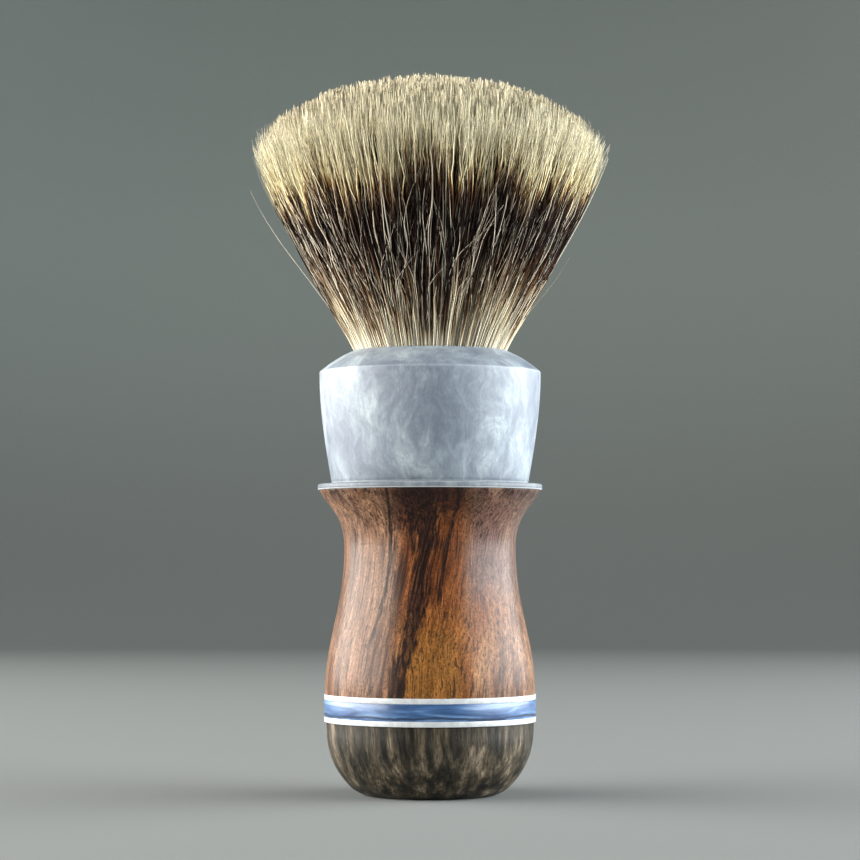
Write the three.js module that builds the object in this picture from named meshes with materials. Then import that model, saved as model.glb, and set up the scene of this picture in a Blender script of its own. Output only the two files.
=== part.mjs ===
// A shaving brush: a turned handle glued up from wood and resin sections, with a
// fan-shaped badger-hair knot set in the socket of its collar.
// Millimetres, +Z up. The origin is the centre of the foot, on the table.
import * as THREE from 'three';

// ---- Driving dimensions ----

// Round pieces that show are cut into more flats than the ones hidden inside.
const OUTER_FLATS = 64;
const INNER_FLATS = 32;

// Heights of the joints between the stacked sections, from the foot up.
const BASE_TOP = 12.2;
const LOWER_RING_TOP = 13.1;
const BLUE_RING_TOP = 15.9;
const UPPER_RING_TOP = 16.8;
const BODY_TOP = 50.8;
const FLANGE_TOP = 51.8;
const MOUTH_Z = 74.1;

// Base cap: a bowl whose side is one round arc, with a fillet round the flat foot.
const BASE_ARC_RADIUS = 13.1;
const BASE_ARC_CENTRE = new THREE.Vector2(4.2, 10.8);
const BASE_TOP_RADIUS = 17.4;
const FOOT_FILLET = 5;

// Accent rings, standing a little proud of the wood on both sides of them.
const RING_RADIUS = 17.7;

// Handle body: swells at the rings, narrows to a waist and flares under the flange.
const BODY_FOOT_RADIUS = 17.6;
const WAIST_RADIUS = 14.35;
const WAIST_Z = 41.2;
const BODY_TOP_RADIUS = 18.6;
// Lengths of the curves' handles at the belly, below and above the waist, and at the flare.
const BELLY_HANDLE = 9;
const WAIST_HANDLES = { below: 10.4, above: 5.6 };
const FLARE_HANDLE = { inward: 1.5, down: 2.9 };

// Collar and the thin flange that it stands on.
const FLANGE_RADIUS = 18.85;
const FLANGE_EDGE = 0.25;
const COLLAR_FOOT_RADIUS = 16.5;
const COLLAR_FOOT_BEVEL = 0.3;
const COLLAR_RADIUS = 18.6;
const COLLAR_SHOULDER_Z = 70.5;
const COLLAR_HANDLES = { outward: 1.1, up: 6.5, down: 6.2 };
const SHOULDER_EASING = { inward: 0.35, up: 0.4 };
const BEVEL_CONTROL = { radius: 16, height: 72.75 };
const LIP_RADIUS = 13.2;

// Socket for a 26 mm knot, bored down from the mouth.
const SOCKET_RADIUS = 13;
const SOCKET_FLOOR_Z = 59.6;

// Dowels that line the sections up, and the clearance that the glue fills.
const DOWEL_RADIUS = 4.85;
const DOWEL_CHAMFER = 0.6;
const GLUE_GAP = 0.15;
const BASE_DOWEL = { from: 6.2, to: 24.2 };
const COLLAR_DOWEL = { from: 41.2, to: 56.6 };
const DOWEL_END_GAP = 0.4;

// Knot: adhesive bed, plug cast round the roots, thread binding and hair.
const ADHESIVE_THICKNESS = 0.8;
const PLUG_RADIUS = SOCKET_RADIUS - GLUE_GAP;
const PLUG_TOP = 67;
const ROOT_RADIUS = 11.5;
const ROOT_BOTTOM = 63;
const THREAD_RADIUS = 0.3;
const THREAD_TURNS = 4;
const THREAD_PITCH = 0.75;
const THREAD_STEPS_PER_TURN = 28;
const THREAD_SIDES = 6;
const THREAD_START = 67.6;
const SHOULDER_OF_HAIR = 71.4;
const MOUTH_HAIR_RADIUS = 12.8;
const NECK_TOP = 81;
const NECK_TOP_RADIUS = 16.7;
// Where the neck's curves pull, from the mouth's edge.
const THROAT_PULL = { inward: 0.7, down: 1.6 };
const NECK_PULL = { outward: 0.9, up: 3 };
const BAND_TOP = 102;
const BAND_TOP_RADIUS = 28.1;
const BAND_HANDLES = { outward: 4.6, up: 8, inward: 3.4, down: 7 };
const FAN_RADIUS = 29.5;
const FAN_Z = 106;
const FAN_EASING = 2;
const DOME_HANDLE = 5.5;
const HAIR_TOP = 119.8;

// Shallow flutes that stand for the tufts of the fan.
const FLUTES = OUTER_FLATS / 2;
const FLUTE_DEPTH = 0.02;

// ---- Materials ----

function material(color, roughness, metalness = 0) {
  return new THREE.MeshStandardMaterial({ color, roughness, metalness });
}

const figuredWood = () => material(0x8a5a38, 0.3);
const darkWood = () => material(0x4b3f38, 0.45);
const pearlGreyResin = () => material(0x8c98a4, 0.35, 0.1);
const bluePearlResin = () => material(0x7f9cc4, 0.25, 0.1);
const whiteResin = () => material(0xf2f4f4, 0.25);
const beech = () => material(0xc9a678, 0.7);
const epoxy = () => material(0xb59a5c, 0.3);
const curedAdhesive = () => material(0xd8cfae, 0.35);
const waxedThread = () => material(0xe6dcc0, 0.8);
const creamHair = () => material(0xe0d6b4, 0.75);
const darkHair = () => material(0x3a2c27, 0.7);
const paleHair = () => material(0xe4d9ac, 0.8);

// ---- Helpers ----

// Turns a closed outline, x as the radius and y as the height, round the Z axis.
function turned(outline, flats = OUTER_FLATS) {
  return new THREE.LatheGeometry(outline, flats).rotateX(Math.PI / 2);
}

// An outline made of straight lines through [radius, height] corners.
function corners(...points) {
  return points.map(([radius, height]) => new THREE.Vector2(radius, height));
}

function piece(name, geometry, surface) {
  const mesh = new THREE.Mesh(geometry, surface);
  mesh.name = name;
  return mesh;
}

// Radius of the hole that a dowel is glued into.
const DOWEL_HOLE_RADIUS = DOWEL_RADIUS + GLUE_GAP;

// ---- Handle ----

function baseCap() {
  // The foot's fillet touches the floor and runs smoothly into the bowl's arc.
  const reach = BASE_ARC_RADIUS - FOOT_FILLET;
  const drop = BASE_ARC_CENTRE.y - FOOT_FILLET;
  const tangentAngle = -Math.asin(drop / reach);
  const footRadius = BASE_ARC_CENTRE.x + reach * Math.cos(tangentAngle);
  const side = new THREE.Path();
  side.moveTo(0, 0);
  side.lineTo(footRadius, 0);
  side.absarc(footRadius, FOOT_FILLET, FOOT_FILLET, -Math.PI / 2, tangentAngle);
  side.absarc(BASE_ARC_CENTRE.x, BASE_ARC_CENTRE.y, BASE_ARC_RADIUS, tangentAngle, 0);
  side.lineTo(BASE_TOP_RADIUS, BASE_TOP);
  const holeFloor = BASE_DOWEL.from - DOWEL_END_GAP;
  side.lineTo(DOWEL_HOLE_RADIUS, BASE_TOP);
  side.lineTo(DOWEL_HOLE_RADIUS, holeFloor);
  side.lineTo(0, holeFloor);
  return piece('base_cap', turned(side.getPoints(4)), darkWood());
}

function accentRing(name, bottom, top, surface) {
  const outline = corners(
    [DOWEL_HOLE_RADIUS, bottom],
    [RING_RADIUS, bottom],
    [RING_RADIUS, top],
    [DOWEL_HOLE_RADIUS, top],
    [DOWEL_HOLE_RADIUS, bottom],
  );
  return piece(name, turned(outline), surface);
}

function handleBody() {
  const lowerHoleTop = BASE_DOWEL.to + DOWEL_END_GAP;
  const upperHoleFloor = COLLAR_DOWEL.from - DOWEL_END_GAP;
  const outline = new THREE.Path();
  outline.moveTo(0, lowerHoleTop);
  outline.lineTo(DOWEL_HOLE_RADIUS, lowerHoleTop);
  outline.lineTo(DOWEL_HOLE_RADIUS, UPPER_RING_TOP);
  outline.lineTo(BODY_FOOT_RADIUS, UPPER_RING_TOP);
  outline.bezierCurveTo(
    BODY_FOOT_RADIUS, UPPER_RING_TOP + BELLY_HANDLE,
    WAIST_RADIUS, WAIST_Z - WAIST_HANDLES.below,
    WAIST_RADIUS, WAIST_Z,
  );
  outline.bezierCurveTo(
    WAIST_RADIUS, WAIST_Z + WAIST_HANDLES.above,
    BODY_TOP_RADIUS - FLARE_HANDLE.inward, BODY_TOP - FLARE_HANDLE.down,
    BODY_TOP_RADIUS, BODY_TOP,
  );
  outline.lineTo(DOWEL_HOLE_RADIUS, BODY_TOP);
  outline.lineTo(DOWEL_HOLE_RADIUS, upperHoleFloor);
  outline.lineTo(0, upperHoleFloor);
  return piece('handle_body', turned(outline.getPoints(8)), figuredWood());
}

function collarFlange() {
  const outline = corners(
    [DOWEL_HOLE_RADIUS, BODY_TOP],
    [FLANGE_RADIUS - FLANGE_EDGE, BODY_TOP],
    [FLANGE_RADIUS, BODY_TOP + FLANGE_EDGE],
    [FLANGE_RADIUS, FLANGE_TOP - FLANGE_EDGE],
    [FLANGE_RADIUS - FLANGE_EDGE, FLANGE_TOP],
    [DOWEL_HOLE_RADIUS, FLANGE_TOP],
    [DOWEL_HOLE_RADIUS, BODY_TOP],
  );
  return piece('collar_flange', turned(outline), pearlGreyResin());
}

function collar() {
  const studHoleTop = COLLAR_DOWEL.to + DOWEL_END_GAP;
  const outline = new THREE.Path();
  outline.moveTo(0, studHoleTop);
  outline.lineTo(DOWEL_HOLE_RADIUS, studHoleTop);
  outline.lineTo(DOWEL_HOLE_RADIUS, FLANGE_TOP);
  outline.lineTo(COLLAR_FOOT_RADIUS - COLLAR_FOOT_BEVEL, FLANGE_TOP);
  outline.lineTo(COLLAR_FOOT_RADIUS, FLANGE_TOP + COLLAR_FOOT_BEVEL);
  outline.bezierCurveTo(
    COLLAR_FOOT_RADIUS + COLLAR_HANDLES.outward, FLANGE_TOP + COLLAR_HANDLES.up,
    COLLAR_RADIUS, COLLAR_SHOULDER_Z - COLLAR_HANDLES.down,
    COLLAR_RADIUS, COLLAR_SHOULDER_Z,
  );
  outline.lineTo(
    COLLAR_RADIUS - SHOULDER_EASING.inward,
    COLLAR_SHOULDER_Z + SHOULDER_EASING.up,
  );
  outline.quadraticCurveTo(BEVEL_CONTROL.radius, BEVEL_CONTROL.height, LIP_RADIUS, MOUTH_Z);
  outline.lineTo(SOCKET_RADIUS, MOUTH_Z);
  outline.lineTo(SOCKET_RADIUS, SOCKET_FLOOR_Z);
  outline.lineTo(0, SOCKET_FLOOR_Z);
  return piece('collar', turned(outline.getPoints(6)), pearlGreyResin());
}

function dowel(name, { from, to }) {
  const outline = corners(
    [0, from],
    [DOWEL_RADIUS - DOWEL_CHAMFER, from],
    [DOWEL_RADIUS, from + DOWEL_CHAMFER],
    [DOWEL_RADIUS, to - DOWEL_CHAMFER],
    [DOWEL_RADIUS - DOWEL_CHAMFER, to],
    [0, to],
  );
  return piece(name, turned(outline, INNER_FLATS), beech());
}

// ---- Knot ----

// Height where the adhesive bed ends and the plug stands on it.
const PLUG_FLOOR = SOCKET_FLOOR_Z + ADHESIVE_THICKNESS;

function knotAdhesive() {
  const outline = corners(
    [0, SOCKET_FLOOR_Z],
    [PLUG_RADIUS, SOCKET_FLOOR_Z],
    [PLUG_RADIUS, PLUG_FLOOR],
    [0, PLUG_FLOOR],
  );
  return piece('knot_adhesive', turned(outline, INNER_FLATS), curedAdhesive());
}

function knotPlug() {
  const outline = corners(
    [0, PLUG_FLOOR],
    [PLUG_RADIUS, PLUG_FLOOR],
    [PLUG_RADIUS, PLUG_TOP],
    [ROOT_RADIUS + GLUE_GAP, PLUG_TOP],
    [ROOT_RADIUS + GLUE_GAP, ROOT_BOTTOM],
    [0, ROOT_BOTTOM],
  );
  return piece('knot_plug', turned(outline, INNER_FLATS), epoxy());
}

// The centre line of the thread, wound round the hair just above the plug.
class ThreadHelix extends THREE.Curve {
  getPoint(t, target = new THREE.Vector3()) {
    const angle = 2 * Math.PI * THREAD_TURNS * t;
    const radius = ROOT_RADIUS + GLUE_GAP + THREAD_RADIUS;
    const height = THREAD_START + THREAD_PITCH * THREAD_TURNS * t;
    return target.set(radius * Math.cos(angle), radius * Math.sin(angle), height);
  }
}

function bindingThread() {
  const section = new THREE.Shape();
  for (let side = 0; side < THREAD_SIDES; side += 1) {
    const angle = (2 * Math.PI * side) / THREAD_SIDES;
    const x = THREAD_RADIUS * Math.cos(angle);
    const y = THREAD_RADIUS * Math.sin(angle);
    if (side === 0) {
      section.moveTo(x, y);
    } else {
      section.lineTo(x, y);
    }
  }
  section.closePath();
  const geometry = new THREE.ExtrudeGeometry(section, {
    steps: THREAD_TURNS * THREAD_STEPS_PER_TURN,
    extrudePath: new ThreadHelix(),
    bevelEnabled: false,
  });
  return piece('binding_thread', geometry, waxedThread());
}

// Presses the tufts into a hair solid, from nothing at the mouth to full depth at the top.
function fluted(geometry) {
  const position = geometry.attributes.position;
  for (let i = 0; i < position.count; i += 1) {
    const x = position.getX(i);
    const y = position.getY(i);
    const rise = Math.max(0, (position.getZ(i) - MOUTH_Z) / (HAIR_TOP - MOUTH_Z));
    const wave = Math.cos(FLUTES * Math.atan2(y, x)) - 1;
    const scale = 1 + FLUTE_DEPTH * rise * wave;
    position.setX(i, x * scale);
    position.setY(i, y * scale);
  }
  return geometry;
}

// The roots: potted in the plug, bound, then spreading out of the mouth.
function hairNeck() {
  const outline = new THREE.Path();
  outline.moveTo(0, ROOT_BOTTOM);
  outline.lineTo(ROOT_RADIUS, ROOT_BOTTOM);
  outline.lineTo(ROOT_RADIUS, SHOULDER_OF_HAIR);
  outline.quadraticCurveTo(
    MOUTH_HAIR_RADIUS - THROAT_PULL.inward, MOUTH_Z - THROAT_PULL.down,
    MOUTH_HAIR_RADIUS, MOUTH_Z,
  );
  outline.quadraticCurveTo(
    MOUTH_HAIR_RADIUS + NECK_PULL.outward, MOUTH_Z + NECK_PULL.up,
    NECK_TOP_RADIUS, NECK_TOP,
  );
  outline.lineTo(0, NECK_TOP);
  return piece('hair_neck', fluted(turned(outline.getPoints(4))), creamHair());
}

function hairBand() {
  const outline = new THREE.Path();
  outline.moveTo(0, NECK_TOP);
  outline.lineTo(NECK_TOP_RADIUS, NECK_TOP);
  outline.bezierCurveTo(
    NECK_TOP_RADIUS + BAND_HANDLES.outward, NECK_TOP + BAND_HANDLES.up,
    BAND_TOP_RADIUS - BAND_HANDLES.inward, BAND_TOP - BAND_HANDLES.down,
    BAND_TOP_RADIUS, BAND_TOP,
  );
  outline.lineTo(0, BAND_TOP);
  return piece('hair_band', fluted(turned(outline.getPoints(5))), darkHair());
}

function hairTips() {
  const outline = new THREE.Path();
  outline.moveTo(0, BAND_TOP);
  outline.lineTo(BAND_TOP_RADIUS, BAND_TOP);
  outline.quadraticCurveTo(FAN_RADIUS, FAN_Z - FAN_EASING, FAN_RADIUS, FAN_Z);
  outline.bezierCurveTo(
    FAN_RADIUS, FAN_Z + DOME_HANDLE,
    FAN_RADIUS / 2, HAIR_TOP,
    0, HAIR_TOP,
  );
  return piece('hair_tips', fluted(turned(outline.getPoints(8))), paleHair());
}

// ---- The brush ----

const brush = new THREE.Group();
brush.add(baseCap());
brush.add(dowel('base_dowel', BASE_DOWEL));
brush.add(accentRing('lower_white_ring', BASE_TOP, LOWER_RING_TOP, whiteResin()));
brush.add(accentRing('blue_ring', LOWER_RING_TOP, BLUE_RING_TOP, bluePearlResin()));
brush.add(accentRing('upper_white_ring', BLUE_RING_TOP, UPPER_RING_TOP, whiteResin()));
brush.add(handleBody());
brush.add(dowel('collar_dowel', COLLAR_DOWEL));
brush.add(collarFlange());
brush.add(collar());
brush.add(knotAdhesive());
brush.add(knotPlug());
brush.add(bindingThread());
brush.add(hairNeck());
brush.add(hairBand());
brush.add(hairTips());

export default brush;
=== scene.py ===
"""Looks of the shaving brush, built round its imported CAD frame.

The turned sections are rebuilt as smooth lathe meshes with fine edges, and the three plain
hair solids become a bundle of single hairs. Lengths are in millimetres until a mesh is made.
"""
import math

import bpy
import numpy as np
from mathutils.kdtree import KDTree
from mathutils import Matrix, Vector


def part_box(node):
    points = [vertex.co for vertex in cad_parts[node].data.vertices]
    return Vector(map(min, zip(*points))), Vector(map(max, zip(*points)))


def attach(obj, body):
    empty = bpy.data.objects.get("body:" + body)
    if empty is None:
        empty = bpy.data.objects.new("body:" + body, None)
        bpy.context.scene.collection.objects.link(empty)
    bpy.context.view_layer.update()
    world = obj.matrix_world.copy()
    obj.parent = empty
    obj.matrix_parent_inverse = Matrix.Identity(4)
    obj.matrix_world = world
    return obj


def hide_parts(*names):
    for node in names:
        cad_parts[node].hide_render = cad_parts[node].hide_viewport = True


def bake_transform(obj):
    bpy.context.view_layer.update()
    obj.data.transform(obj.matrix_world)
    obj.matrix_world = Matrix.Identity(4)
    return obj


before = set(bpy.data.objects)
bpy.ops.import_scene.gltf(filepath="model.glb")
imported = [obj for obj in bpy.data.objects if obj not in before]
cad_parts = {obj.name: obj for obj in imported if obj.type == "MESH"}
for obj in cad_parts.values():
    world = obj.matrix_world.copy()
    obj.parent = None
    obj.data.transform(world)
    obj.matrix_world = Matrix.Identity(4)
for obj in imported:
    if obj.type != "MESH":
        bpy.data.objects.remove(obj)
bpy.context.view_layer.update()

MM = 0.001
SEED = 7
HANDLE = "handle"


def span(node):
    """A turned node's bottom, top and largest radius, in millimetres."""
    low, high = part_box(node)
    return low.z / MM, high.z / MM, high.x / MM


# ---------------------------------------------------------------- outlines


def line(*points):
    return np.array(points, float)


def bezier(a, b, c, d, steps):
    """Points on a cubic curve from a to d."""
    t = np.linspace(0, 1, steps + 1)[:, None]
    a, b, c, d = (np.array(p, float) for p in (a, b, c, d))
    return a * (1 - t) ** 3 + 3 * b * t * (1 - t) ** 2 + 3 * c * t * t * (1 - t) + d * t**3


def arc(centre, radius, start, end, steps):
    """Points on a round arc, angles in degrees."""
    angle = np.radians(np.linspace(start, end, steps + 1))
    return np.array(centre) + radius * np.stack([np.cos(angle), np.sin(angle)], 1)


def eased(points, corners, steps):
    """Rounds the corners of an outline: corners maps a point's index to its easing length."""
    out = []
    for i, p in enumerate(points):
        if i not in corners:
            out.append(p)
            continue
        before, after = points[i - 1], points[(i + 1) % len(points)]
        into = p + (before - p) * min(0.45, corners[i] / np.linalg.norm(before - p))
        onto = p + (after - p) * min(0.45, corners[i] / np.linalg.norm(after - p))
        for t in np.linspace(0, 1, steps):
            out.append(into * (1 - t) ** 2 + 2 * p * t * (1 - t) + onto * t * t)
    return np.array(out)


TURNS = 192
SHARP_FROM = 35  # degrees between faces


def turned(name, outline):
    """Turns an outline of (radius, height) round Z. It starts and ends on the axis, or is a ring's."""
    on_axis = outline[0][0] < 1e-9
    radii, heights = outline[:, 0], outline[:, 1]
    angle = np.arange(TURNS) * 2 * math.pi / TURNS
    middle = slice(1, -1) if on_axis else slice(None)
    r, z = radii[middle], heights[middle]
    grid = np.stack(
        [np.outer(r, np.cos(angle)), np.outer(r, np.sin(angle)), np.repeat(z[:, None], TURNS, 1)], -1
    )
    verts = [tuple(v) for v in grid.reshape(-1, 3) * MM]
    rows = len(r)
    faces = []
    for i in range(rows - 1 if on_axis else rows):
        lower, upper = i * TURNS, (i + 1) % rows * TURNS
        for j in range(TURNS):
            k = (j + 1) % TURNS
            faces.append((lower + j, lower + k, upper + k, upper + j))
    if on_axis:
        last = (rows - 1) * TURNS
        verts += [(0, 0, heights[0] * MM), (0, 0, heights[-1] * MM)]
        start, end = len(verts) - 2, len(verts) - 1
        for j in range(TURNS):
            k = (j + 1) % TURNS
            faces.append((start, k, j))
            faces.append((end, last + j, last + k))
    mesh = bpy.data.meshes.new(name)
    mesh.from_pydata(verts, [], faces)
    mesh.shade_smooth()
    mesh.set_sharp_from_angle(angle=math.radians(SHARP_FROM))
    piece = bpy.data.objects.new(name, mesh)
    bpy.context.scene.collection.objects.link(piece)
    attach(piece, HANDLE)
    return piece


# ---------------------------------------------------------------- handle

GLUE_GAP = 0.15
HOLE = span("base_dowel")[2] + GLUE_GAP
END_GAP = 0.4
CHAMFER = 0.12
RING_EASE = 0.08
FLANGE_EASE = 0.4


def base_cap():
    """A bowl: a small flat foot, a tight fillet, then a round side that ends upright."""
    bottom, top, radius = span("base_cap")
    side_centre, side, fillet = (4.2, 10.8), 13.1, 5.0
    tangent = -math.degrees(math.asin((side_centre[1] - fillet) / (side - fillet)))
    foot = side_centre[0] + (side - fillet) * math.cos(math.radians(tangent))
    floor = span("base_dowel")[0] - END_GAP
    outline = np.vstack([
        line((0, bottom)),
        arc((foot, fillet), fillet, -90, tangent, 14),
        arc(side_centre, side, tangent, 0, 32)[1:],
        line((radius, top - CHAMFER), (radius - CHAMFER, top)),
        line((HOLE, top), (HOLE, floor), (0, floor)),
    ])
    return turned("base_cap_turned", outline)


def accent_ring(node):
    bottom, top, radius = span(node)
    outline = line((HOLE, bottom), (radius, bottom), (radius, top), (HOLE, top))
    return turned(node + "_turned", eased(outline, {1: RING_EASE, 2: RING_EASE}, 4))


def handle_body():
    """A belly over the rings, a narrow waist, and a flare out to the flange."""
    bottom, top, radius = span("handle_body")
    foot, waist, waist_z = 17.6, 14.35, 41.2
    foot_pull, waist_pull_down, waist_pull_up = 9, 10.4, 5.6
    rim_pull = (1.5, 2.9)
    lower_floor = span("base_dowel")[1] + END_GAP
    upper_floor = span("collar_dowel")[0] - END_GAP
    belly = bezier(
        (foot, bottom), (foot, bottom + foot_pull),
        (waist, waist_z - waist_pull_down), (waist, waist_z), 40,
    )
    flare = bezier(
        (waist, waist_z), (waist, waist_z + waist_pull_up),
        (radius - rim_pull[0], top - rim_pull[1]), (radius, top), 32,
    )
    outline = np.vstack([
        line((0, lower_floor), (HOLE, lower_floor), (HOLE, bottom), (foot - 0.1, bottom)),
        belly,
        flare[1:-1],
        line((radius - 0.1, top - CHAMFER), (radius - 0.14, top)),
        line((HOLE, top), (HOLE, upper_floor), (0, upper_floor)),
    ])
    return turned("handle_body_turned", outline)


def collar_flange():
    bottom, top, radius = span("collar_flange")
    outline = line((HOLE, bottom), (radius, bottom), (radius, top), (HOLE, top))
    return turned("collar_flange_turned", eased(outline, {1: FLANGE_EASE, 2: FLANGE_EASE}, 8))


def collar():
    """Sides that widen to a sharp shoulder, a domed bevel, and the socket that holds the knot."""
    bottom, mouth, radius = span("collar")
    foot, foot_round, shoulder = 16.5, 0.3, mouth - 3.6
    lip, socket = 13.2, 13.0
    floor = span("knot_adhesive")[0]
    stud_floor = span("collar_dowel")[1] + END_GAP
    side = bezier(
        (foot, bottom + foot_round), (foot + 1.1, bottom + 6.5),
        (radius, shoulder - 6.2), (radius, shoulder), 32,
    )
    bevel = bezier(
        (radius - 0.3, shoulder + 0.36), (16.9, mouth - 2.0), (15, mouth - 0.8), (lip, mouth - 0.05), 16
    )
    outline = np.vstack([
        line((0, stud_floor), (HOLE, stud_floor), (HOLE, bottom), (foot - foot_round, bottom)),
        side,
        line((radius - 0.05, shoulder + 0.14), (radius - 0.15, shoulder + 0.26)),
        bevel,
        line((lip - 0.06, mouth), (socket, mouth - 0.02), (socket, floor), (0, floor)),
    ])
    return turned("collar_turned", outline)


# ---------------------------------------------------------------- hair

NECK_BOTTOM, _, _ = span("hair_neck")
MOUTH = span("collar")[1]
_, HAIR_TOP, FAN_RADIUS = span("hair_tips")
TOP = HAIR_TOP - MOUTH
ROOT_RADIUS = 11.2
MOUTH_RADIUS = 12.75
FAN_SIDE = bezier((MOUTH_RADIUS, 0), (14.5, 4.2), (24.5, 18.4), (30.2, 35), 60)

# The trimmed dome: how far its edge lies under its top, and how that drop is shared.
DOME_DROP = 11.6
DOME_ROUND, DOME_EDGE = 0.7, 0.3
TRIM_MEAN, TRIM_SPREAD = -0.45, 0.45
TRIM_LIMITS = (-1.6, 0.3)

# The dark band: the mean heights of its ends above the mouth, their spread from hair to hair, how
# much they move from the front's middle to the sides, and how far its upper end follows the dome.
DARK_FROM, DARK_FROM_SPREAD = 9.0, 4.2
DARK_TO, DARK_TO_SPREAD = 26.0, 1.7
BAND_TILT = np.array([5.0, -3.4])
BAND_ON_DOME = 0.75

# Where the parts of a hair lie along V of its colour map.
V_MOUTH, V_DARK_FROM, V_DARK_TO, V_TIP = 0.1, 0.35, 0.6, 0.98

TONES = 64
PALE_SHARE = 0.14
DARK_TONES, PALE_TONES = (0, 0.68), (0.71, 0.999)
PALE_THICK_SHARE, DARK_THICK_SHARE = 0.4, 0.12
THICK_WIDTHS, FINE_WIDTHS = (0.17, 0.24), (0.12, 0.17)
LOOSE_WIDTHS, LOOSE_TONES = (0.09, 0.13), (0.75, 0.999)
TRIANGLE_LIMIT = 190000


def fan_radius(height):
    """The outer radius of the bundle at a height above the mouth."""
    return np.interp(height, FAN_SIDE[:, 1], FAN_SIDE[:, 0])


def dome_height(radius):
    """The height of the trimmed dome above the mouth, at a radius."""
    s = np.clip(radius / FAN_RADIUS, 0, 1.05)
    return TOP - DOME_DROP * (DOME_ROUND * s**2 + DOME_EDGE * s**8)


def smoothstep(x, low, high):
    t = np.clip((x - low) / (high - low), 0, 1)
    return t * t * (3 - 2 * t)


def disc(rng, count, inner, outer):
    """Random points between two radii of a disc, evenly spread."""
    radius = np.sqrt(rng.uniform(inner**2, outer**2, count))
    angle = rng.uniform(0, 2 * math.pi, count)
    return np.stack([radius * np.cos(angle), radius * np.sin(angle)], 1)


def nearest(points, centres):
    """For each point, the number of the centre that is nearest to it."""
    tree = KDTree(len(centres))
    for i, c in enumerate(centres):
        tree.insert((c[0], c[1], 0), i)
    tree.balance()
    return np.array([tree.find((p[0], p[1], 0))[1] for p in points])


class Tufts:
    """Places on the unit disc that hairs gather towards, each with a length and a band of its own."""

    def __init__(self, seed, count, pull, band_spread):
        rng = np.random.default_rng(SEED + seed)
        self.places = disc(rng, count, 0, 1)
        self.pull = pull
        self.longer = rng.uniform(-0.35, 0.35, count)
        self.band_shift = rng.normal(0, band_spread, (count, 2))


SMALL_TUFTS = Tufts(1, 1900, pull=0.42, band_spread=1.3)
LARGE_TUFTS = Tufts(2, 300, pull=0.15, band_spread=0.9)


def trimmed_height(rng, points):
    """How high each hair reaches: the dome over its own tip, cut a little unevenly."""
    radius = np.linalg.norm(points, axis=1)
    height = np.full(len(points), 30.0)
    for _ in range(12):
        height = 0.5 * height + 0.5 * dome_height(radius * fan_radius(height))
    return height + np.clip(rng.normal(TRIM_MEAN, TRIM_SPREAD, len(points)), *TRIM_LIMITS)


def band_ends(rng, points, height):
    """The heights where each hair's dark band starts and ends."""
    count = len(points)
    starts = rng.normal(DARK_FROM, DARK_FROM_SPREAD, count)
    ends = rng.normal(DARK_TO, DARK_TO_SPREAD, count)
    band = np.stack([starts, ends], 1) + (np.abs(points[:, :1]) - 0.5) * BAND_TILT
    band[:, 1] += BAND_ON_DOME * (height - (TOP - DOME_DROP))
    return band


def waviness(rng, count, t, wave, frizz):
    """Sideways offsets along each hair: a smooth sway and a random curl, both still at the root."""
    steps = len(t) - 1
    phase = rng.uniform(0, 2 * math.pi, (count, 1, 2))
    turns = rng.uniform(0.8, steps / 3.6, (count, 1, 2)) * 2 * math.pi
    sway = wave * rng.uniform(0.2, 1.0, (count, 1, 1)) * np.sin(turns * t[None, :, None] + phase)
    sway = (sway - sway[:, :1]) * smoothstep(t, 0.0, 0.35)[None, :, None]
    curl = np.cumsum(rng.normal(0, frizz, (count, steps + 1, 2)), axis=1)
    return sway + curl * smoothstep(t, 0.25, 1.0)[None, :, None]


def strand_paths(rng, points, steps, wave, frizz, gathered):
    """Each hair's centre line, root to tip, as (hair, step, xyz), with its height and its band."""
    count = len(points)
    height = trimmed_height(rng, points)
    band = band_ends(rng, points, height)
    t = np.linspace(0, 1, steps + 1) ** 0.9
    gather = smoothstep(t, 0.15, 1.0)[None, :, None] * gathered
    place = np.repeat(points[:, None, :], steps + 1, 1)
    for tufts in (SMALL_TUFTS, LARGE_TUFTS):
        own = nearest(points, tufts.places)
        place = place + (tufts.places[own] - points)[:, None, :] * gather * tufts.pull
        height = height + tufts.longer[own]
        band = band + tufts.band_shift[own]
    h = height[:, None] * t[None, :]
    across = place * fan_radius(h)[:, :, None] + waviness(rng, count, t, wave, frizz)
    path = np.concatenate([across, MOUTH + h[:, :, None]], 2)
    foot = np.concatenate([points * ROOT_RADIUS, np.full((count, 1), NECK_BOTTOM + 0.2)], 1)
    return np.concatenate([foot[:, None, :], path], 1), height, band


def colour_place(path, height, band):
    """V along each hair, from its heights over the mouth, its own height and its dark band."""
    h = np.clip(path[:, :, 2] - MOUTH, 0, None)
    low = np.clip(band[:, :1], 0.8, 16)
    high = np.clip(band[:, 1:], 19, None)
    high = np.minimum(high, height[:, None] - 2.5)
    root = V_MOUTH + (V_DARK_FROM - V_MOUTH) * h / low
    middle = V_DARK_FROM + (V_DARK_TO - V_DARK_FROM) * (h - low) / (high - low)
    tip = V_DARK_TO + (V_TIP - V_DARK_TO) * (h - high) / (height[:, None] - high)
    return np.clip(np.where(h < low, root, np.where(h < high, middle, tip)), 0.02, 0.99)


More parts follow.
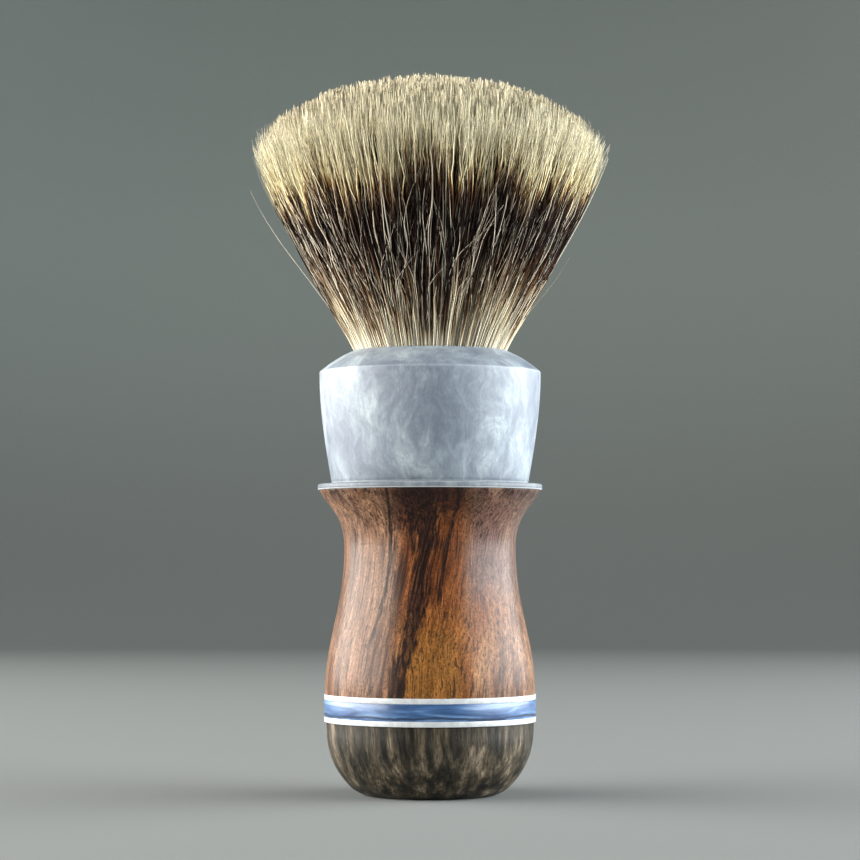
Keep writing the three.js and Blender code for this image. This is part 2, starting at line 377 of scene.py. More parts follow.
def tube_corners(rng, path, width, taper):
    """The three corners of each ring along each hair, as (hair, ring, corner, xyz)."""
    count, rings, _ = path.shape
    along = np.gradient(path, axis=1)
    along /= np.linalg.norm(along, axis=2, keepdims=True)
    turn = rng.uniform(0, 2 * math.pi, count)
    side = np.stack([np.cos(turn), np.sin(turn), np.zeros(count)], 1)[:, None, :]
    side = side - along * (side * along).sum(2, keepdims=True)
    side /= np.linalg.norm(side, axis=2, keepdims=True)
    other = np.cross(along, side)
    thin = 1 - taper * smoothstep(np.linspace(0, 1, rings), 0.7, 1.0)
    half = (width[:, None] / 2) * thin[None, :]
    corners = []
    for k in range(3):
        a = 2 * math.pi * k / 3
        corners.append(path + half[:, :, None] * (side * math.cos(a) + other * math.sin(a)))
    return np.stack(corners, 2)


def tube_faces(count, rings):
    """The corner numbers of all faces in one row, and where in it each face starts."""
    base = np.arange(count)[:, None, None] * rings * 3
    ring = np.arange(rings - 1)[None, :, None] * 3
    k = np.arange(3)[None, None, :]
    after = (k + 1) % 3
    lower, upper = base + ring, base + ring + 3
    quads = np.stack([lower + k, lower + after, upper + after, upper + k], -1).reshape(-1, 4)
    first = (np.arange(count) * rings * 3)[:, None]
    last = first + (rings - 1) * 3
    caps = np.concatenate([first + [0, 2, 1], last + [0, 1, 2]], 0)
    corners = np.concatenate([quads.ravel(), caps.ravel()])
    starts = np.concatenate([np.arange(len(quads)) * 4, len(quads) * 4 + np.arange(len(caps)) * 3])
    return corners, starts


def tubes(name, rng, path, width, tone, v, taper=0.7):
    """One mesh of three-sided tapering hairs. U holds each hair's tone, V the place along it."""
    count, rings, _ = path.shape
    verts = tube_corners(rng, path, width, taper).reshape(-1, 3) * MM
    loops, starts = tube_faces(count, rings)
    mesh = bpy.data.meshes.new(name)
    mesh.vertices.add(len(verts))
    mesh.vertices.foreach_set("co", verts.astype(np.float32).ravel())
    mesh.loops.add(len(loops))
    mesh.loops.foreach_set("vertex_index", loops.astype(np.int32))
    mesh.polygons.add(len(starts))
    mesh.polygons.foreach_set("loop_start", starts.astype(np.int32))
    mesh.update(calc_edges=True)
    mesh.shade_smooth()

    u = np.floor(tone * TONES) / TONES
    in_column = (np.array([0.1, 0.5, 0.9]) / TONES)[None, None, :]
    uv = np.stack(np.broadcast_arrays(u[:, None, None] + in_column, v[:, :, None]), -1).reshape(-1, 2)
    layer = mesh.uv_layers.new(name="OFBake")
    layer.data.foreach_set("uv", uv[loops].astype(np.float32).ravel())

    piece = bpy.data.objects.new(name, mesh)
    bpy.context.scene.collection.objects.link(piece)
    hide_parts("hair_neck", "hair_band", "hair_tips")
    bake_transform(piece)
    return piece


def hair_layer(
    name, seed, count, inner, outer, steps,
    wave=0.22, frizz=0.1, gathered=1.0, stout=1.0, taper=0.7,
):
    """Hairs rooted between two radii of the bundle, shared among as few pieces as the limit allows."""
    triangles = 6 * (steps + 1) + 2
    parts = math.ceil(count * triangles / TRIANGLE_LIMIT)
    pieces = []
    for part in range(parts):
        rng = np.random.default_rng(SEED * 1000 + seed * 10 + part)
        here = count // parts
        points = disc(rng, here, inner, outer)
        path, height, band = strand_paths(rng, points, steps, wave, frizz, gathered)
        pale = rng.random(here) < PALE_SHARE
        tone = np.where(pale, rng.uniform(*PALE_TONES, here), rng.uniform(*DARK_TONES, here))
        thick = rng.random(here) < np.where(pale, PALE_THICK_SHARE, DARK_THICK_SHARE)
        width = np.where(thick, rng.uniform(*THICK_WIDTHS, here), rng.uniform(*FINE_WIDTHS, here))
        v = colour_place(path, height, band)
        pieces.append(tubes(f"{name}_{part + 1}", rng, path, stout * width, tone, v, taper))
    return pieces


def surface_hairs(name, seed, azimuth, reach, lift, drift, kink):
    """Loose pale hairs over the bundle's outside, given by arrays with one value for each hair.

    reach is the height over the mouth and lift the distance from the bundle, in millimetres.
    drift and kink are sideways turns round the axis, in radians, even and from a bend on.
    """
    rng = np.random.default_rng(SEED + seed)
    count = len(azimuth)
    t = np.linspace(0, 1, 17)
    h = reach[:, None] * t[None, :]
    kink_at = rng.uniform(0.3, 0.85, count)[:, None]
    swing = drift[:, None] * t + kink[:, None] * np.clip(t - kink_at, 0, 1)
    ripple = rng.normal(0, 0.02, count)[:, None]
    swing = swing + ripple * np.sin(8 * t + rng.uniform(0, 6, count)[:, None])
    angle = azimuth[:, None] + swing * smoothstep(t, 0, 0.3)
    radius = fan_radius(h) * 0.985 + lift[:, None] * smoothstep(t, 0.1, 1.0)
    path = np.stack([radius * np.cos(angle), radius * np.sin(angle), MOUTH + h], -1)
    foot = path[:, :1] * [0.86, 0.86, 1] - [0, 0, 4]
    path = np.concatenate([foot, path], 1)
    tone = rng.uniform(*LOOSE_TONES, count)
    width = rng.uniform(*LOOSE_WIDTHS, count)
    band = np.tile([DARK_FROM, DARK_TO], (count, 1))
    v = colour_place(path, np.full(count, TOP - DOME_DROP), band)
    return tubes(name, rng, path, width, tone, v)


def stray_hairs(seed, count):
    """Pale hairs that wander and bend over the bundle's outside."""
    rng = np.random.default_rng(SEED + seed)
    return surface_hairs(
        "hair_strays", seed,
        azimuth=rng.uniform(0, 2 * math.pi, count),
        reach=rng.uniform(10, 32, count),
        lift=rng.uniform(0.1, 0.6, count),
        drift=rng.normal(0, 0.16, count),
        kink=rng.normal(0, 0.26, count),
    )


# Single hairs that stand clear of the outline: azimuth in degrees, reach and lift in millimetres.
FLYAWAYS = (
    (2, 33, 1.2), (-8, 34, 0.9), (14, 31, 1.3), (-3, 16, 2.2),
    (183, 27, 3.6), (176, 33, 0.8), (95, 30, 1.6), (250, 28, 1.2),
)


def flyaway_hairs(seed):
    azimuth, reach, lift = np.array(FLYAWAYS, float).T
    still = np.zeros(len(azimuth))
    return surface_hairs("hair_flyaways", seed, np.radians(azimuth), reach, lift, still, still + 0.1)


# ---------------------------------------------------------------- materials


def grey(value):
    return (value, value, value)


class Graph:
    """A short way to write a material's nodes."""

    def __init__(self, name):
        self.material = bpy.data.materials.new(name)
        self.material.use_nodes = True
        self.tree = self.material.node_tree
        self.shader = next(n for n in self.tree.nodes if n.type == "BSDF_PRINCIPLED")

    def node(self, kind, inputs=(), **settings):
        made = self.tree.nodes.new("ShaderNode" + kind)
        for key, value in settings.items():
            setattr(made, key, value)
        for key, value in dict(inputs).items():
            self.feed(made.inputs[key], value)
        return made

    def feed(self, socket, value):
        if isinstance(value, bpy.types.NodeSocket):
            self.tree.links.new(value, socket)
        else:
            socket.default_value = value

    def math(self, operation, a, b=0.0):
        return self.node("Math", {0: a, 1: b}, operation=operation).outputs[0]

    def add(self, a, b):
        return self.math("ADD", a, b)

    def minus(self, a, b):
        return self.math("SUBTRACT", a, b)

    def times(self, a, *factors):
        for factor in factors:
            a = self.math("MULTIPLY", a, factor)
        return a

    def size(self, a):
        return self.math("ABSOLUTE", a)

    def most(self, a, b):
        return self.math("MAXIMUM", a, b)

    def scaled(self, at, scale):
        return self.node("Mapping", {"Vector": at, "Scale": scale}).outputs[0]

    def place(self, scale=(1, 1, 1), turn=(0, 0, 0)):
        """Object coordinates in millimetres, turned and then scaled."""
        at = self.node("TexCoord").outputs["Object"]
        turned_by = self.node("Mapping", {"Vector": at, "Rotation": turn, "Scale": (1000, 1000, 1000)})
        return self.scaled(turned_by.outputs[0], scale)

    def noise(self, at, scale=1.0, detail=3.0, roughness=0.5, distortion=0.0):
        inputs = {
            "Vector": at, "Scale": scale, "Detail": detail,
            "Roughness": roughness, "Distortion": distortion,
        }
        return self.node("TexNoise", inputs).outputs["Fac"]

    def grain(self, wood, across, along, detail, roughness=0.5, distortion=0.0):
        """Noise stretched up the wood: across and along are how fine it is in each direction."""
        return self.noise(self.scaled(wood, (across, across, along)), 1, detail, roughness, distortion)

    def ramp(self, factor, *stops):
        made = self.node("ValToRGB", {"Fac": factor})
        elements = made.color_ramp.elements
        while len(elements) < len(stops):
            elements.new(1.0)
        for element, (place, colour) in zip(elements, stops):
            element.position = place
            element.color = (*colour, 1)
        return made.outputs["Color"]

    def grey_ramp(self, factor, *stops):
        return self.ramp(factor, *((place, grey(value)) for place, value in stops))

    def mask(self, factor, low, high):
        """0 at low, 1 at high, smooth between. low may be the larger of the two."""
        made = self.node(
            "MapRange",
            {"Value": factor, "From Min": low, "From Max": high, "To Min": 0.0, "To Max": 1.0},
            interpolation_type="SMOOTHSTEP",
        )
        return made.outputs["Result"]

    def mix(self, factor, a, b, blend="MIX"):
        made = self.node("Mix", data_type="RGBA", blend_type=blend)
        self.feed(made.inputs[0], factor)
        self.feed(made.inputs[6], a if not isinstance(a, tuple) else (*a, 1))
        self.feed(made.inputs[7], b if not isinstance(b, tuple) else (*b, 1))
        return made.outputs[2]

    def shaded(self, colour, factor, *stops, share=1.0):
        """The colour times a grey ramp over the factor."""
        return self.mix(share, colour, self.grey_ramp(factor, *stops), "MULTIPLY")

    def bump(self, height, strength, distance_mm):
        made = self.node("Bump", {"Height": height, "Strength": strength, "Distance": distance_mm * MM})
        self.tree.links.new(made.outputs["Normal"], self.shader.inputs["Normal"])

    def finish(self, colour, roughness, **values):
        self.feed(self.shader.inputs["Base Color"], colour)
        self.feed(self.shader.inputs["Roughness"], roughness)
        for key, value in values.items():
            self.shader.inputs[key.replace("_", " ")].default_value = value
        return self.material


def streak(g, x, centre, half_width, wobble):
    """1 on a line up the wood, fading to 0 at its ragged edge."""
    away = g.math("DIVIDE", g.size(g.minus(x, centre)), half_width)
    return g.mask(g.add(away, wobble), 1.15, 0.55)


def front_veins(g, x, z, fibres, mottle):
    """The dark heart that runs up and to the right, a fine vein on each side of it, and the dark rim."""
    drift = g.noise(g.place((0.3, 0.3, 0.09)), 1, 3, 0.6)
    wobble = g.add(g.times(g.minus(drift, 0.5), 2.4), g.times(g.minus(fibres, 0.5), 1.3))

    heart_foot, heart_run = -5.9, 4.7
    heart_x = g.add(g.times(g.mask(z, 14.0, 40.0), heart_run), heart_foot)
    heart_width = g.add(1.5, g.times(g.mask(z, 33.0, 48.0), 2.4))
    heart_width = g.add(heart_width, g.times(g.mask(z, 26.0, 20.0), 0.5))
    heart = streak(g, x, heart_x, heart_width, wobble)

    right_foot, right_from = 1.65, 33.0
    above = g.most(g.minus(z, right_from), 0.0)
    right_x = g.add(right_foot, g.times(g.math("POWER", above, 1.5), 0.047))
    right = g.times(streak(g, x, right_x, 0.42, wobble), g.mask(z, 29.0, 34.0))

    left_top, left_to = -6.4, 43.0
    below = g.minus(left_to, z)
    left_x = g.minus(left_top, g.times(below, below, 0.0114))
    left = g.times(streak(g, x, left_x, 0.32, wobble), g.mask(z, 23.0, 28.0))

    rim = g.times(g.mask(z, 48.2, 50.4), g.mask(mottle, 0.42, 0.6))
    veins = g.most(g.most(heart, right), g.most(left, rim))
    return g.times(veins, g.add(0.66, g.times(g.mask(fibres, 0.62, 0.42), 0.32)))


def figured_wood():
    """Rosewood-like grain: black and red-brown bands up the handle, fine dark fibres and pores."""
    g = Graph("figured_wood")
    x, y, z = g.node("SeparateXYZ", {0: g.place()}).outputs
    wander = g.minus(g.noise(g.place((0.05, 0.05, 0.03)), 1, 2, 0.5), 0.5)
    leaning_x = g.add(x, g.add(g.times(wander, 9.0), g.times(z, -0.09)))
    leaning_y = g.add(y, g.times(wander, 5.0))
    wood = g.node("CombineXYZ", {0: leaning_x, 1: leaning_y, 2: z}).outputs[0]
    off_middle = g.size(x)
    front = g.mask(y, 2.0, -4.0)

    bands = g.grain(wood, 0.17, 0.006, 3, 0.55, 0.1)
    streaks = g.grain(wood, 0.62, 0.022, 4, 0.6, 0.15)
    fibres = g.grain(wood, 2.6, 0.09, 4, 0.65)
    lines = g.grain(wood, 3.0, 0.08, 2)
    pores = g.grain(wood, 5.5, 0.9, 1)
    mottle = g.noise(g.place((0.5, 0.5, 0.14)), 1, 5, 0.7)
    stipple = g.noise(g.place((3.4, 3.4, 2.6)), 1, 2, 0.6)

    colour = g.ramp(
        g.add(g.times(bands, 0.72), g.times(streaks, 0.28)),
        (0.36, (0.012, 0.005, 0.003)),
        (0.43, (0.070, 0.021, 0.008)),
        (0.50, (0.180, 0.058, 0.019)),
        (0.57, (0.250, 0.100, 0.034)),
        (0.66, (0.360, 0.190, 0.090)),
    )
    # Painted sheen: towards the sides the wood turns a paler tan, standing in for the side lamps' hazy
    # reflections; its streaks still show.
    sides = g.times(g.mask(g.size(leaning_x), 5.0, 12.0), 0.72)
    side_sheen_tan = g.ramp(streaks, (0.35, (0.082, 0.042, 0.026)), (0.62, (0.275, 0.168, 0.108)))
    colour = g.mix(sides, colour, side_sheen_tan)
    # Painted highlight: a grey-lilac haze over the front's upper right, where the right lamp would
    # reflect.
    painted_right_highlight = g.times(g.mask(x, 4.5, 8.0), g.mask(z, 30.0, 37.0), front, 0.6)
    colour = g.mix(painted_right_highlight, colour, (0.105, 0.080, 0.078))
    core = g.times(g.mask(off_middle, 6.5, 3.5), front, 0.85)
    red = g.ramp(
        streaks,
        (0.36, (0.058, 0.018, 0.006)),
        (0.50, (0.160, 0.047, 0.012)),
        (0.62, (0.275, 0.098, 0.026)),
    )
    colour = g.mix(core, colour, red)
    low_middle = g.times(g.mask(z, 34.0, 22.0), front, g.mask(off_middle, 8.0, 3.0), 0.75)
    colour = g.mix(low_middle, colour, (0.250, 0.108, 0.024))
    veins = g.times(front_veins(g, x, z, fibres, mottle), front)
    colour = g.mix(veins, colour, (0.014, 0.006, 0.005))
    # Dark wood and painted shade: the front's middle turns nearly black towards the top of the flare,
    # under the flange.
    flange_shade_and_dark_wood = g.times(g.mask(z, 43.0, 49.5), g.mask(off_middle, 11.0, 4.0), front, 0.8)
    colour = g.mix(flange_shade_and_dark_wood, colour, (0.022, 0.010, 0.008))

    colour = g.shaded(colour, fibres, (0.28, 0.42), (0.5, 0.95), (0.74, 1.6))
    colour = g.shaded(colour, mottle, (0.3, 0.55), (0.7, 1.4), share=0.45)
    colour = g.shaded(colour, stipple, (0.34, 0.68), (0.5, 1.0), (0.66, 1.35))
    colour = g.mix(g.times(g.mask(lines, 0.58, 0.66), 0.75), colour, (0.014, 0.008, 0.006))
    pitted = g.mask(pores, 0.63, 0.70)
    colour = g.mix(g.times(pitted, 0.8), colour, (0.010, 0.007, 0.006))
    g.bump(g.minus(g.times(fibres, 0.5), pitted), 0.4, 0.05)
    rough = g.grey_ramp(fibres, (0.3, 0.42), (0.7, 0.56))
    return g.finish(colour, rough, Specular_IOR_Level=0.08, Coat_Weight=0.2, Coat_Roughness=0.25)


def dark_wood():
    """Nearly black wood with grey-brown streaks and open pores."""
    g = Graph("dark_wood")
    wood = g.place(turn=(0, math.radians(4), 0))
    streaks = g.grain(wood, 0.42, 0.03, 4, 0.62, 0.25)
    fibres = g.grain(wood, 2.6, 0.16, 4, 0.65)
    pores = g.grain(wood, 4.2, 0.5, 2)
    mottle = g.noise(g.place((0.7, 0.7, 0.5)), 1, 4, 0.65)
    colour = g.ramp(
        streaks,
        (0.36, (0.008, 0.007, 0.005)),
        (0.48, (0.032, 0.027, 0.018)),
        (0.58, (0.080, 0.062, 0.040)),
        (0.68, (0.185, 0.146, 0.104)),
    )
    colour = g.shaded(colour, fibres, (0.3, 0.3), (0.5, 0.9), (0.72, 1.9))
    colour = g.shaded(colour, mottle, (0.3, 0.45), (0.7, 1.5), share=0.7)
    pitted = g.mask(pores, 0.62, 0.70)
    colour = g.mix(g.times(pitted, 0.75), colour, (0.006, 0.006, 0.005))
    g.bump(g.minus(g.times(fibres, 0.6), pitted), 0.5, 0.06)
    rough = g.grey_ramp(fibres, (0.3, 0.40), (0.7, 0.55))
    return g.finish(colour, rough, Specular_IOR_Level=0.22)


def pearl_grey_resin(name, edges, shade=1.0):
    """Cast pearl: soft feathered clouds of light grey in blue-grey, with painted shade darkening it
    towards the foot.

    edges lists the turned edges that get a painted highlight line, each as its lowest height, its
    highest and its strength.
    shade darkens the whole piece, as painted shade.
    """
    g = Graph(name)
    at = g.place()
    bend = g.node("TexNoise", {"Vector": at, "Scale": 0.1, "Detail": 2.0}).outputs["Color"]
    offset = g.node("VectorMath", {0: bend, 1: (0.5, 0.5, 0.5)}, operation="SUBTRACT").outputs[0]
    offset = g.node("VectorMath", {0: offset, "Scale": 10.0}, operation="SCALE").outputs[0]
    flow = g.node("VectorMath", {0: at, 1: offset}, operation="ADD").outputs[0]
    cloud = g.grain(flow, 0.13, 0.08, 4, 0.55)
    feather = g.grain(flow, 0.6, 0.16, 6, 0.68)
    fine = g.grain(at, 3.0, 1.6, 3, 0.6)
    tone = g.add(g.add(g.times(cloud, 0.52), g.times(feather, 0.36)), g.times(fine, 0.12))
    colour = g.ramp(
        tone,
        (0.39, (0.140, 0.164, 0.206)),
        (0.47, (0.190, 0.221, 0.264)),
        (0.55, (0.275, 0.320, 0.358)),
        (0.64, (0.450, 0.510, 0.540)),
    )
    z = g.node("SeparateXYZ", {0: at}).outputs[2]
    # Painted shade: the colour darkens towards the foot.
    foot, foot_shade, foot_height = edges[0][0], 0.78, 5.0
    up = g.mask(z, foot, foot + foot_height)
    colour = g.shaded(colour, up, (0.0, foot_shade * shade), (1.0, shade))
    # Painted highlight: a light line along each turned edge, where its bevel would catch the lamps.
    painted_highlight = 0.0
    for low, high, strength in edges:
        middle, half = (low + high) / 2, (high - low) / 2
        away = g.size(g.minus(z, middle))
        painted_highlight = g.most(g.times(g.mask(away, half * 1.3, half * 0.7), strength), painted_highlight)
    colour = g.mix(painted_highlight, colour, (0.80, 0.84, 0.87))
    g.bump(g.noise(g.place((1, 1, 2)), 5, 3, 0.6), 0.12, 0.02)
    rough = g.grey_ramp(feather, (0.3, 0.42), (0.7, 0.52))
    return g.finish(colour, rough, Specular_IOR_Level=0.35)


def blue_pearl_resin():
    """Blue pearl with long waves round the ring and one dark wandering seam."""
    g = Graph("blue_pearl_resin")
    bottom, _, _ = span("blue_ring")
    seam_height = bottom + 0.35
    z = g.node("SeparateXYZ", {0: g.place()}).outputs[2]
    waves = g.noise(g.place((0.09, 0.09, 0.75)), 1, 4, 0.55, 0.7)
    colour = g.ramp(
        waves,
        (0.36, (0.022, 0.058, 0.150)),
        (0.47, (0.042, 0.103, 0.235)),
        (0.56, (0.070, 0.150, 0.310)),
        (0.66, (0.165, 0.270, 0.440)),
    )
    ripple = g.times(g.minus(g.noise(g.place((0.12, 0.12, 0.12)), 1, 3, 0.6), 0.5), 1.6)
    off_seam = g.size(g.minus(z, g.add(seam_height, ripple)))
    colour = g.mix(g.times(g.mask(off_seam, 0.32, 0.08), 0.85), colour, (0.004, 0.014, 0.045))
    g.bump(waves, 0.05, 0.05)
    rough = g.grey_ramp(waves, (0.3, 0.28), (0.7, 0.36))
    return g.finish(colour, rough, Specular_IOR_Level=0.5, Coat_Weight=0.15, Coat_Roughness=0.12)


def white_resin():
    g = Graph("white_resin")
    cloud = g.noise(g.place(), 0.7, 4, 0.6)
    colour = g.ramp(cloud, (0.3, (0.45, 0.47, 0.48)), (0.7, (0.56, 0.58, 0.585)))
    g.bump(g.noise(g.place(), 5, 2, 0.5), 0.04, 0.02)
    rough = g.grey_ramp(cloud, (0.3, 0.22), (0.7, 0.32))
    return g.finish(colour, rough, Specular_IOR_Level=0.5)


def beech():
    g = Graph("beech")
    fibres = g.noise(g.place((1.6, 1.6, 0.12)), 1, 4, 0.6)
    colour = g.ramp(fibres, (0.3, (0.42, 0.27, 0.14)), (0.7, (0.66, 0.48, 0.29)))
    g.bump(fibres, 0.4, 0.08)
    return g.finish(colour, g.grey_ramp(fibres, (0.3, 0.6), (0.7, 0.75)))


def cast_resin(name, dark, light):
    g = Graph(name)
    cloud = g.noise(g.place(), 0.4, 4, 0.55)
    g.bump(cloud, 0.2, 0.1)
    rough = g.grey_ramp(cloud, (0.3, 0.25), (0.7, 0.4))
    return g.finish(g.ramp(cloud, (0.3, dark), (0.7, light)), rough)


def waxed_thread():
    g = Graph("waxed_thread")
    twist = g.noise(g.place((3, 3, 6)), 1, 3, 0.6)
    g.bump(twist, 0.6, 0.08)
    colour = g.ramp(twist, (0.3, (0.55, 0.48, 0.34)), (0.7, (0.82, 0.76, 0.60)))
    return g.finish(colour, g.grey_ramp(twist, (0.3, 0.6), (0.7, 0.8)))


def badger_hair():
    """Cream root, dark band and cream tip along V. U picks the hair's own tone, pale from 0.7 on."""
    g = Graph("badger_hair")
    uv = g.node("UVMap", uv_map="OFBake").outputs[0]
    tone, along, _ = g.node("SeparateXYZ", {0: uv}).outputs
    column = g.math("FLOOR", g.times(tone, float(TONES)))
    speck = g.node("TexWhiteNoise", {"W": column}, noise_dimensions="1D").outputs["Value"]
    other_column = g.add(column, 91.7)
    other = g.node("TexWhiteNoise", {"W": other_column}, noise_dimensions="1D").outputs["Value"]
    tips = (
        (0.63, (0.480, 0.280, 0.110)),
        (0.665, (0.900, 0.770, 0.440)),
        (0.82, (0.980, 0.885, 0.610)),
        (0.94, (0.990, 0.915, 0.660)),
        # Painted shade: each hair darkens at its very end, which dims the dome's top.
        (0.98, (0.720, 0.610, 0.400)),
    )
    black = g.ramp(
        along,
        (0.10, (1.000, 0.940, 0.740)),
        (0.20, (0.900, 0.780, 0.540)),
        (0.29, (0.400, 0.255, 0.135)),
        (0.35, (0.070, 0.030, 0.014)),
        (0.42, (0.008, 0.005, 0.005)),
        (0.54, (0.006, 0.004, 0.004)),
        (0.59, (0.095, 0.042, 0.018)),
        *tips,
    )
    brown = g.ramp(
        along,
        (0.10, (0.660, 0.510, 0.330)),
        (0.20, (0.340, 0.210, 0.115)),
        (0.30, (0.150, 0.064, 0.028)),
        (0.43, (0.064, 0.024, 0.013)),
        (0.55, (0.040, 0.016, 0.010)),
        (0.60, (0.160, 0.078, 0.036)),
        *tips,
    )
    pale = g.ramp(
        along,
        (0.10, (1.000, 0.950, 0.780)),
        (0.30, (0.920, 0.830, 0.640)),
        (0.45, (0.800, 0.700, 0.560)),
        (0.58, (0.760, 0.640, 0.480)),
        (0.66, (0.920, 0.820, 0.540)),
        (0.94, (1.000, 0.950, 0.700)),
        # Painted shade: the very end darkens, as on the other hairs.
        (0.98, (0.780, 0.680, 0.460)),
    )
    colour = g.mix(g.mask(other, 0.4, 0.8), black, brown)
    colour = g.mix(g.mask(tone, 0.69, 0.71), colour, pale)
    colour = g.shaded(colour, speck, (0.0, 0.18), (0.45, 0.80), (0.8, 1.0))
    rough = g.grey_ramp(speck, (0.0, 0.42), (1.0, 0.55))
    return g.finish(colour, rough, Specular_IOR_Level=0.12)


# ---------------------------------------------------------------- pieces


def build_handle():
    """The seven turned sections, and materials for the plain pieces hidden inside them."""
    dark, figured = dark_wood(), figured_wood()
    blue, white = blue_pearl_resin(), white_resin()
    foot, mouth, _ = span("collar")
    # Painted highlights: light lines on the collar's foot bevel and shoulder, and on the flange's lower
    # and upper edges.
    collar_highlights = ((foot, foot + 0.3, 0.3), (mouth - 3.66, mouth - 3.34, 0.1))
    low, high, _ = span("collar_flange")
    flange_highlights = ((low, low + 0.2, 0.6), (high - 0.12, high, 0.15))
    collar_pearl = pearl_grey_resin("collar_pearl", collar_highlights)
    # Painted shade: the flange is the collar's pearl made darker.
    shaded_flange_pearl = pearl_grey_resin("shaded_flange_pearl", flange_highlights, shade=0.72)
    plan = (
        ("base_cap", base_cap(), dark, "dark_wood"),
        ("lower_white_ring", accent_ring("lower_white_ring"), white, "white_resin"),
        ("blue_ring", accent_ring("blue_ring"), blue, "blue_pearl_resin"),
        ("upper_white_ring", accent_ring("upper_white_ring"), white, "white_resin"),
        ("handle_body", handle_body(), figured, "figured_wood"),
        ("collar_flange", collar_flange(), shaded_flange_pearl, "pearl_grey_resin"),
        ("collar", collar(), collar_pearl, "pearl_grey_resin"),
    )
    for node, piece, material, slot in plan:
        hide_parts(node)
        piece.data.materials.append(material)
    hidden = {
        "base_dowel": beech(),
        "collar_dowel": beech(),
        "knot_adhesive": cast_resin("cured_adhesive", (0.66, 0.60, 0.42), (0.80, 0.76, 0.60)),
        "knot_plug": cast_resin("epoxy", (0.42, 0.29, 0.12), (0.62, 0.48, 0.24)),
        "binding_thread": waxed_thread(),
    }
    for node, material in hidden.items():
        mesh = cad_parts[node].data
        mesh.materials.clear()
        mesh.materials.append(material)


def build_hair():
    """Three layers from the bundle's heart outwards, the outer one finest, and the loose hairs."""
    hair = badger_hair()
    pieces = [
        *hair_layer("hair_heart", 11, 11000, 0.0, 0.66, 5, gathered=0.62, stout=1.35, taper=0.3),
        *hair_layer("hair_middle", 12, 9000, 0.64, 0.88, 6, gathered=0.75, stout=1.25, taper=0.35),
        *hair_layer("hair_outside", 13, 6400, 0.84, 1.0, 16, wave=0.36, frizz=0.16),
        stray_hairs(15, 300),
        flyaway_hairs(16),
    ]
    for piece in pieces:
        piece.data.materials.append(hair)


# ---------------------------------------------------------------- studio, in metres

FLOOR_RADIUS = 1.1
WALL_HEIGHT = 1.3
SWEEP_RADIUS = 0.35
SWEEP_STEPS = 16
SWEEP_SIDES = 96

SOFTBOX_SIZE = (1.17, 0.36)
SOFTBOX_REACH = 0.6
SOFTBOX_HEIGHT = 0.2
SOFTBOX_SPREAD = 120  # degrees
BRUSH_MIDDLE = (0, 0, 0.1)


def cyclorama():
    """A plain pale floor that curves up into a wall all round."""
    flat = FLOOR_RADIUS - SWEEP_RADIUS
    outline = [(0.0, 0.0), (flat, 0.0)]
    for k in range(1, SWEEP_STEPS + 1):
        a = math.radians(90 * k / SWEEP_STEPS)
        outline.append((flat + SWEEP_RADIUS * math.sin(a), SWEEP_RADIUS - SWEEP_RADIUS * math.cos(a)))
    outline.append((FLOOR_RADIUS, WALL_HEIGHT))
    verts = [(0, 0, 0)]
    for r, z in outline[1:]:
        for j in range(SWEEP_SIDES):
            a = 2 * math.pi * j / SWEEP_SIDES
            verts.append((r * math.cos(a), r * math.sin(a), z))
    faces = [(0, 1 + j, 1 + (j + 1) % SWEEP_SIDES) for j in range(SWEEP_SIDES)]
    for i in range(len(outline) - 2):
        low, high = 1 + i * SWEEP_SIDES, 1 + (i + 1) * SWEEP_SIDES
        for j in range(SWEEP_SIDES):
            k = (j + 1) % SWEEP_SIDES
            faces.append((low + j, high + j, high + k, low + k))
    mesh = bpy.data.meshes.new("sweep")
    mesh.from_pydata(verts, [], faces)
    mesh.shade_smooth()
    mesh.materials.append(paper())
    sweep = bpy.data.objects.new("sweep", mesh)
    bpy.context.scene.collection.objects.link(sweep)


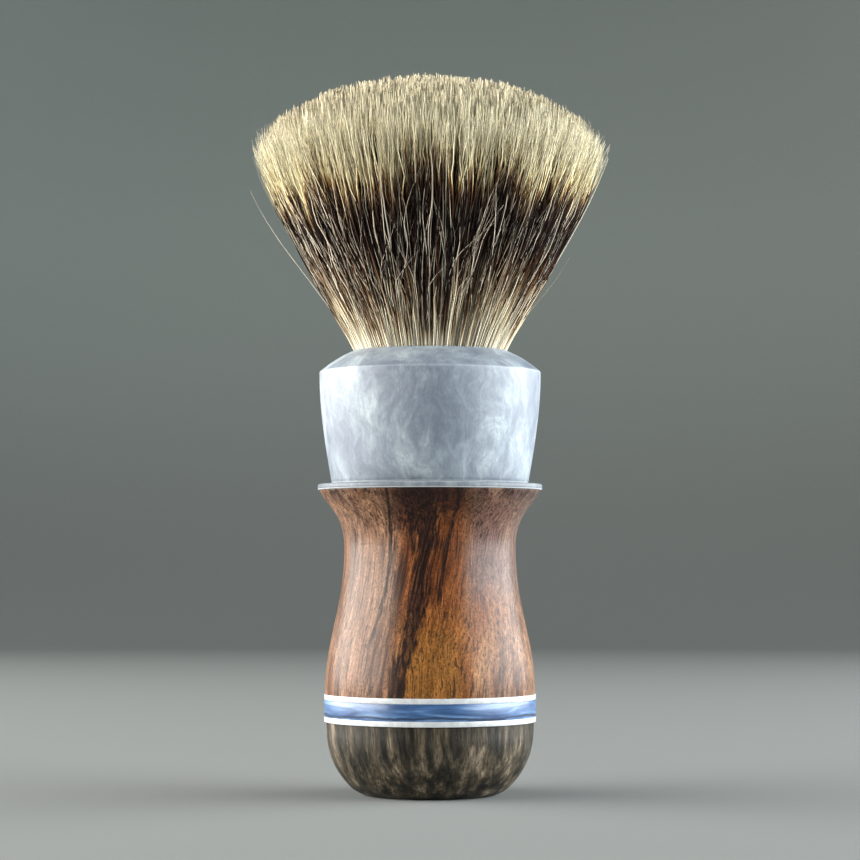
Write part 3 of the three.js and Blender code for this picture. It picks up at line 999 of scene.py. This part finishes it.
def paper():
    """Matt grey paper, lighter on the wall than on the floor."""
    g = Graph("paper")
    tooth = g.noise(g.place(), 0.8, 3, 0.5)
    height = g.node("SeparateXYZ", {0: g.node("TexCoord").outputs["Object"]}).outputs[2]
    base = g.mix(g.mask(height, 0.0, 0.25), (0.215, 0.226, 0.221), (0.400, 0.440, 0.418))
    g.bump(tooth, 0.05, 0.1)
    colour = g.shaded(base, tooth, (0.3, 0.97), (0.7, 1.0))
    return g.finish(colour, 0.8, Specular_IOR_Level=0.05)


def softbox(name, place, aim, size, power, colour=(1, 1, 1)):
    light = bpy.data.lights.new(name, "AREA")
    light.shape = "RECTANGLE"
    light.size, light.size_y = size
    light.energy = power
    light.color = colour
    light.spread = math.radians(SOFTBOX_SPREAD)
    lamp = bpy.data.objects.new(name, light)
    lamp.location = place
    lamp.rotation_euler = (Vector(aim) - Vector(place)).to_track_quat("-Z", "Y").to_euler()
    lamp.visible_camera = False
    bpy.context.scene.collection.objects.link(lamp)


def studio():
    """A soft box on each side, a faint one above, and a little light from all round."""
    scene = bpy.context.scene
    scene.view_settings.view_transform = "Standard"
    scene.world = bpy.data.worlds.new("studio")
    scene.world.use_nodes = True
    sky = scene.world.node_tree.nodes["Background"].inputs
    sky["Color"].default_value = (0.80, 0.84, 0.86, 1)
    sky["Strength"].default_value = 0.095
    cyclorama()
    left = (-SOFTBOX_REACH, 0.0, SOFTBOX_HEIGHT)
    right = (SOFTBOX_REACH, 0.0, SOFTBOX_HEIGHT)
    softbox("left_softbox", left, BRUSH_MIDDLE, SOFTBOX_SIZE, 9.5, (1.0, 0.98, 0.95))
    softbox("right_softbox", right, BRUSH_MIDDLE, SOFTBOX_SIZE, 9.1, (0.94, 0.975, 1.0))
    softbox("top_softbox", (0.0, -0.1, 0.62), (0, 0, 0.07), (0.4, 0.4), 0.1)


def camera():
    distance, height, tilt, lens = 0.4457, 0.0389, 2.83, 111.1
    data = bpy.data.cameras.new("camera")
    data.lens = lens
    data.sensor_width = 36
    data.clip_start = 0.01
    eye = bpy.data.objects.new("camera", data)
    eye.location = (0, -distance, height)
    eye.rotation_euler = (math.radians(90 + tilt), 0, 0)
    bpy.context.scene.collection.objects.link(eye)
    bpy.context.scene.camera = eye


camera()
studio()
build_handle()
build_hair()
